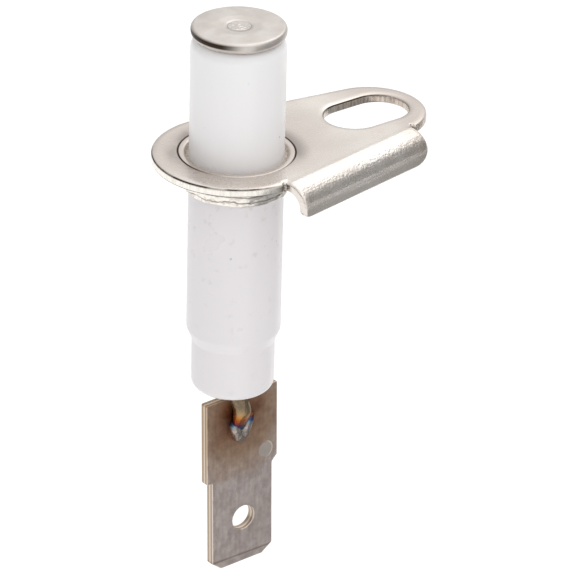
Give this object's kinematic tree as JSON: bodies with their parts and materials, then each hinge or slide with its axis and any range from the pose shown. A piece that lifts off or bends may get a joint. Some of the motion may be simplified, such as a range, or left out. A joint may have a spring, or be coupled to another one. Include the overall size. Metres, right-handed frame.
{
  "type": "ignition electrode",
  "caption": "Spark ignition electrode: ceramic-insulated rod with a spark disc on top, a slotted teardrop bracket with a bent flange, and a push-on tab terminal.",
  "frame": {"origin": "insulator axis at the bracket's underside, the face that seats on the burner", "axes": "+Z along the insulator towards the spark disc, +X along the bracket's arm towards the screw slot, the flange and the terminal's front face on the -Y side"},
  "size_m": [0.0255, 0.0161, 0.0501],
  "materials": {
    "alumina": "smooth white fired ceramic",
    "bracket_nickel": "bright nickel-plated pressed steel",
    "disc_steel": "satin pressed steel",
    "rod_steel": "drawn wire, heat tinted near the weld",
    "tab_steel": "dull rolled strip",
    "weld_metal": "frozen weld pool with heat colours",
    "cement": "dull fired cement"
  },
  "bodies": {
    "root": {"electrode_disc": "disc_steel", "disc_weld": "weld_metal", "electrode_rod": "rod_steel", "insulator": "alumina", "upper_seal": "cement", "lower_seal": "cement", "bracket": "bracket_nickel", "collar": "bracket_nickel", "collar_packing": "cement", "tab_terminal": "tab_steel", "tab_weld": "weld_metal"}
  },
  "joints": []
}
